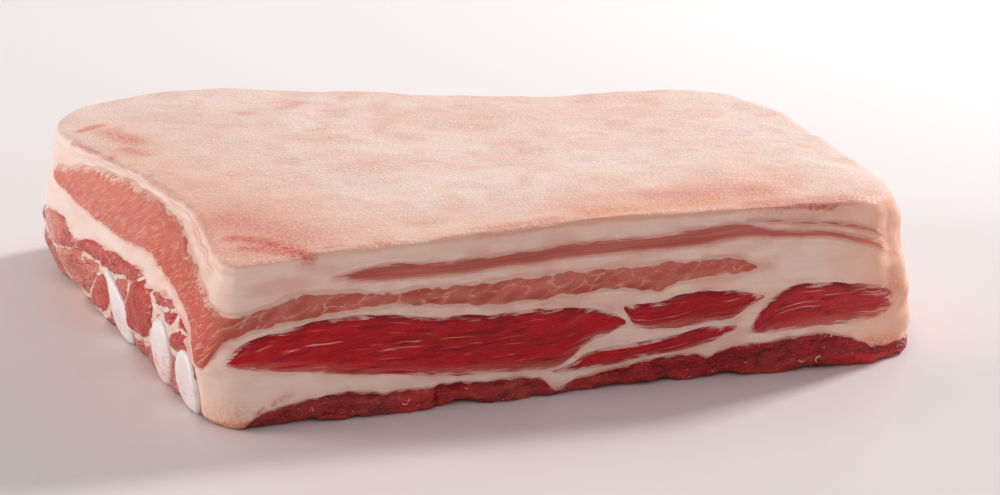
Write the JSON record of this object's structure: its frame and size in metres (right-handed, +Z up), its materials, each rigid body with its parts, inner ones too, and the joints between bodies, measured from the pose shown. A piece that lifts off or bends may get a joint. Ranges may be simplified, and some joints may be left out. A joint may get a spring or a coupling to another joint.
{
  "type": "pork belly slab",
  "caption": "Thick raw slab of pork belly, rind side up, with sheets of lean lying in the fat and cut rib ends at one side.",
  "frame": {"origin": "middle of the slab's box, at table height", "axes": "+X along the long front cut, from the rib side to the thin belly edge; -Y is the front cut; +Z up through the rind"},
  "size_m": [0.3002, 0.244, 0.0631],
  "materials": {
    "fat_and_rind": "raw pork fat, cream to pale pink, with a dry pinkish rind on top",
    "skin_muscle": "moist pale brownish pink lean",
    "skin_muscle_upper": "moist pale brownish pink lean",
    "pale_muscle": "moist pale pink lean with fine fibres",
    "red_muscle": "moist deep red lean with thin white streaks",
    "inner_muscle": "moist dark red lean on the rib side",
    "rib_bone": "sawn bone and gristle, off-white"
  },
  "bodies": {
    "root": {"fat_and_rind": "fat_and_rind", "skin_muscle": "skin_muscle", "skin_muscle_upper": "skin_muscle_upper", "pale_muscle": "pale_muscle", "red_muscle_left": "red_muscle", "red_muscle_middle": "red_muscle", "red_muscle_low": "red_muscle", "red_muscle_right": "red_muscle", "inner_muscle": "inner_muscle", "rib_1": "rib_bone", "rib_2": "rib_bone", "rib_3": "rib_bone"}
  },
  "joints": []
}
